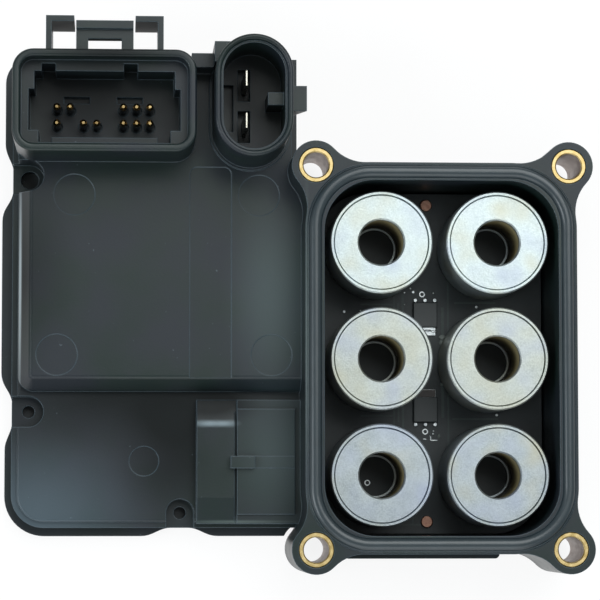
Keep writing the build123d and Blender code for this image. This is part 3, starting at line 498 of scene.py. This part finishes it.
# Covered tracks, which show as low ridges in the solder resist
covered_tracks = open_piece("covered_tracks")
for x, y, width, length in [
    (-6.3, 0.0, 0.5, 30.0), (-7.3, 0.0, 0.35, 26.0), (-8.2, 12.1, 0.35, 8.0),
    (-8.2, -12.1, 0.35, 8.0), (2.4, 0.0, 0.6, 24.0), (3.6, 12.0, 0.35, 14.0),
    (3.6, -12.0, 0.35, 14.0), (-12.0, 12.6, 7.0, 0.35), (-12.0, -11.6, 7.0, 0.35),
    (9.5, -12.3, 10.0, 0.4), (9.5, 13.0, 9.0, 0.4), (-4.5, -35.2, 9.0, 0.3),
    (-4.2, -31.0, 0.3, 8.0),
]:
    draw_strip(x, y, board_top, width, length)
raise_flat(track_height)
track_resist = coating("resist_over_copper", "#27332f", "#323f40")
close_piece(covered_tracks, track_resist)

# Lumps of the clear lacquer that was dabbed beside the chips. Their pale grey is a painted
# reflection of the lacquer's shine.
lacquer = coating("lacquer_painted_sheen", "#525955", "#838a86")
lacquer_lumps = open_piece("lacquer_lumps")
for x, y, width, length in [
    (2.35, 5.5, 1.5, 1.1), (2.1, 4.4, 0.9, 1.3), (2.35, -4.7, 1.0, 0.8), (1.5, -16.0, 0.5, 0.9),
]:
    draw_patch(x, y, board_top, width, length)
raise_flat(lump_height)
dome([(0.1, 0.1), (0.1, 0.05)])
close_piece(lacquer_lumps, lacquer)

# The lower chip's tab, which is coated over and brown
coated_tab = open_piece("coated_tab")
draw_strip(chip_x, -tab_reach, tab_top, tab_width, tab_length)
raise_flat(track_height)
dome([(0.15, 0.03)])
brown_coat = coating("brown_coat", "#2b2726", "#4c4543")
close_piece(coated_tab, brown_coat)


# Smoothing capacitor
# A can of drawn aluminium that stands on the board under the deck. Drawing leaves it smooth,
# with a soft grey shine.
drawn_aluminium = worn_metal(
    "drawn_aluminium", "#b5b8ba", "#cccfd0", patch_size=3 * mm, roughness=0.35,
    grain_size=0.3 * mm, grain_strength=0.2,
)
dress(drawn_aluminium, "smoothing_capacitor")


# Housing
# Glass-filled nylon again, from a tool with a slightly glossier finish than the cover's. Painted
# sheen lies pale at the lower left and on the deck's right side. Painted shade darkens the foot of
# the deck's step, the sockets and other places the light reaches little, and painted highlights
# lie on the folds of the box, the left shoulder and the edges of the box and frame.
housing_nylon = moulded_nylon(
    "housing_nylon", base="#12201e", clouds="#161d24", edge="#44525a", gloss_low=0.32,
    gloss_high=0.44,
    # Painted sheen: pale patches of painted light at the lower left and on the deck's right side.
    painted_sheen_spots=[
        ("#44525b", [((-86, -34, 9), (29, 21, 20), 0.75)]),
        ("#3c4a4b", [((-34, 14, 16), (13, 28, 12), 0.75), ((-34, -20, 12), (12, 20, 12), 0.6)]),
    ],
    # Painted shade: dark spots at the foot of the deck's step, in the sockets and on other places
    # the light reaches little.
    painted_shade_spots=[
        ((-66, -8, 8), (44, 14, 7.5), 1.0), ((-55, -20, 8), (18, 18, 7), 1.0),
        ((-80, 56, 18), (18, 16, 9), 0.85), ((-64, 56, 18), (18, 16, 9), 0.85),
        ((-72, 60.8, 29.5), (24, 3, 2.5), 0.8), ((-70, 63.5, 34), (24, 4, 3), 1.0),
        ((-41, 57, 23), (13, 15, 12), 1.0), ((-40, 64.5, 37.5), (14, 5, 3), 0.5),
        ((-41.6, 55.5, 16), (5, 6, 4), 1.0), ((-41.6, 46.5, 16), (5, 6, 4), 1.0),
        ((-80.5, 68, 27), (5, 6, 6), 1.0), ((-62, 68, 27), (5, 6, 6), 1.0),
        ((-87, 20, 16), (12, 26, 9), 0.5), ((-89, 18, 12), (4, 26, 8), 0.6),
        ((-47, -9, 12), (12, 6, 8), 1.0),
    ],
    # Painted highlights: light streaks on the box's folds and lower edge, the left shoulder and
    # the frame's left edge.
    bright=[
        ("#7c8a90", [
            ((-49.6, -13.5, 12.4), (3.4, 1.1, 3), 0.6), ((-47, -13.5, 12.4), (3.4, 1.1, 3), 0.6),
            ((-44.4, -13.5, 12.4), (3.4, 1.1, 3), 0.6),
        ]),
        ("#9aa4a8", [((-89.05, 17, 13), (0.5, 34, 6), 0.9)]),
        ("#55625f", [((-42, -34.5, 12), (16, 0.6, 3), 0.6), ((-28.7, 4, 29), (0.9, 44, 3), 0.8)]),
    ],
)
dress(housing_nylon, "housing")


# Bushings
# Brass tubes, turned and pressed into the four ears, where they bear the load of the screws. Their
# ends catch the light all round, and the bores are coloured a darker, pinker grey.
brass = worn_metal(
    "turned_brass", "#b09862", "#ccb684", patch_size=1.2 * mm, roughness=0.4,
    grain_size=0.3 * mm, grain_strength=0.2, wall="#a09088",
)
dress(brass, *[f"bushing_{n}" for n in range(1, 5)])


# Signal pins
# Bronze wire with thin gold plating, pointed at the tips and pressed through the shroud's floor.
# The tips shine, and painted shade darkens the shafts towards the floor.
gold = worn_metal(
    "gold_plate", "#86704a", "#a89064", patch_size=0.8 * mm, roughness=0.22,
    grain_size=0.3 * mm, grain_strength=0.2, painted_shade_below=(24.6, 25.8, "#1f170c"),
)
dress(gold, "signal_pins")


# Motor blades
# Copper strip, stamped, tinned bright and fixed in the floor of the motor shroud. The tin is
# smooth, with a warm white shine.
tinned_strip = worn_metal(
    "tinned_strip", "#aca89d", "#c8c4b8", patch_size=1.5 * mm, roughness=0.28,
    grain_size=0.3 * mm, grain_strength=0.2,
)
dress(tinned_strip, "motor_blade_upper", "motor_blade_lower")


# Coil cans and end plates
# Deep-drawn steel with clear zinc plating, which gives a bright, slightly mottled grain. The three
# rows are one plating painted lighter and darker for the light that falls on them: white, warm
# grey and blue grey.
rows_painted_for_light = [
    ("zinc_plate_painted_palest", "#a6b0b0", "#c2cbcb", (1, 2)),
    ("zinc_plate_painted_middle", "#999e99", "#b5bab5", (3, 4)),
    ("zinc_plate_painted_darkest", "#8f9799", "#abb2b6", (5, 6)),
]
for name, dark, light, coils in rows_painted_for_light:
    zinc = worn_metal(
        name, dark, light, patch_size=5 * mm, roughness=0.42, grain_size=0.3 * mm,
        grain_strength=0.6, grain_tone=1.4, tints=("#a8a48c", "#98a0b4"),
    )
    dress(zinc, *[f"coil_can_{n}" for n in coils], *[f"coil_plate_{n}" for n in coils])


# Bobbins
# Glass-filled nylon in its natural brown, moulded as a spool inside each can. Only the bore shows,
# and painted shade darkens it with depth.
bobbin_plastic = moulded_nylon(
    "bobbin_plastic", base="#948a66", clouds="#a19673", edge="#aca37e", gloss_low=0.4,
    gloss_high=0.5, painted_shade_below=(9, 23, "#241f13"),
)
dress(bobbin_plastic, *[f"coil_bobbin_{n}" for n in coil_numbers])


# Windings
# Enamelled copper wire, wound on the bobbin and closed in by the can and the end plate. The
# enamel gives it a red brown shine.
wire = worn_metal(
    "enamelled_wire", "#8c4524", "#b5643a", patch_size=1.2 * mm, roughness=0.3,
    grain_size=0.4 * mm, grain_strength=0.5,
)
dress(wire, *[f"coil_winding_{n}" for n in coil_numbers])


# Seal of the frame
# A rubber cord, moulded in one closed loop and pressed into the groove of the frame's lip. It is
# dark and slightly greasy.
rubber = start_material("moulded_rubber")
place = add_node(rubber, "ShaderNodeTexCoord").outputs["Object"]
bloom_size = 4 * mm
bloom = add_node(
    rubber, "ShaderNodeTexNoise", {"Scale": 1 / bloom_size, "Detail": 4.0}, {"Vector": place}
).outputs["Fac"]
colour = add_node(
    rubber, "ShaderNodeMix", {6: linear("#222b2f"), 7: linear("#2d373c")}, {0: bloom},
    data_type="RGBA",
).outputs[2]
shader = add_node(
    rubber, "ShaderNodeBsdfPrincipled", {"Roughness": 0.3, "IOR": 1.52}, {"Base Color": colour}
).outputs["BSDF"]
add_node(rubber, "ShaderNodeOutputMaterial", links={"Surface": shader})
dress(rubber, "mounting_seal")


# Floor
# White paper, flat under the module. The camera and glossy or clear surfaces see most of its white
# as a glow, and the rest of it takes the shadow.
floor_size = 6.0
bpy.ops.object.select_all(action="DESELECT")
bpy.ops.mesh.primitive_plane_add(size=floor_size, location=(0, 0, 0))
floor = bpy.context.object
floor.name = "paper_floor"
paper = start_material("white_paper")
paper_white, shadow_share = 0.95, 0.14
matt = add_node(
    paper, "ShaderNodeBsdfDiffuse", {"Color": (paper_white, paper_white, paper_white, 1.0)}
).outputs["BSDF"]
glow = add_node(
    paper, "ShaderNodeEmission", {"Color": (1.0, 1.0, 1.0, 1.0), "Strength": 1.0}
).outputs["Emission"]
path = add_node(paper, "ShaderNodeLightPath").outputs
seen = add_node(
    paper, "ShaderNodeMath", links={0: path["Is Camera Ray"], 1: path["Is Glossy Ray"]},
    operation="MAXIMUM",
).outputs["Value"]
seen = add_node(
    paper, "ShaderNodeMath", links={0: seen, 1: path["Is Transmission Ray"]}, operation="MAXIMUM"
).outputs["Value"]
share = add_node(
    paper, "ShaderNodeMath", {1: 1 - shadow_share}, {0: seen}, operation="MULTIPLY"
).outputs["Value"]
mixed = add_node(
    paper, "ShaderNodeMixShader", links={0: share, 1: matt, 2: glow}
).outputs["Shader"]
add_node(paper, "ShaderNodeOutputMaterial", links={"Surface": mixed})
floor.data.materials.append(paper)


# Light
# A white room, whose walls fill the shadows. A broad soft box hangs high at the back, and smaller
# ones stand low at the left and front.
world = bpy.data.worlds.new("white_room")
bpy.context.scene.world = world
world.use_nodes = True
room = world.node_tree.nodes["Background"]
room.inputs["Color"].default_value = (0.93, 0.98, 1.0, 1.0)
room.inputs["Strength"].default_value = 0.4


def hang_lamp(name, place, aim, size, power, colour):
    """Hangs a square soft box that faces a point."""
    lamp = bpy.data.lights.new(name, "AREA")
    lamp.size = size
    lamp.energy = power
    lamp.color = colour
    holder = bpy.data.objects.new(name, lamp)
    bpy.context.scene.collection.objects.link(holder)
    holder.location = place
    holder.rotation_euler = (Vector(aim) - Vector(place)).to_track_quat("-Z", "Y").to_euler()


hang_lamp(
    "high_right_box", (0.35, 0.68, 1.25), aim=(0, 0, 0), size=1.2, power=17.5,
    colour=(0.96, 1.0, 1.0),
)
hang_lamp(
    "front_box", (-0.1, -0.85, 0.55), aim=(-0.05, 0, 0), size=0.9, power=4.4,
    colour=(0.94, 0.98, 1.0),
)
hang_lamp(
    "left_box", (-0.9, -0.25, 0.75), aim=(-0.05, 0, 0), size=0.6, power=6.0,
    colour=(0.9, 0.96, 1.0),
)


# Camera
# Fitted to the tops and feet of the walls in the photograph: 605 mm above the ears, tilted a few
# degrees. Its lens frames the module as the photograph does.
camera_place = (-67.59 * mm, -32.44 * mm, 635.02 * mm)
camera_turn = (0.0729, -0.0618, -0.0006)
lens_length, sensor_width = 174.38, 36.0
lens = bpy.data.cameras.new("camera")
lens.lens = lens_length
lens.sensor_width = sensor_width
lens.clip_start = 10 * mm
camera = bpy.data.objects.new("camera", lens)
bpy.context.scene.collection.objects.link(camera)
camera.location = camera_place
camera.rotation_euler = camera_turn
bpy.context.scene.camera = camera
bpy.context.scene.view_settings.view_transform = "Standard"
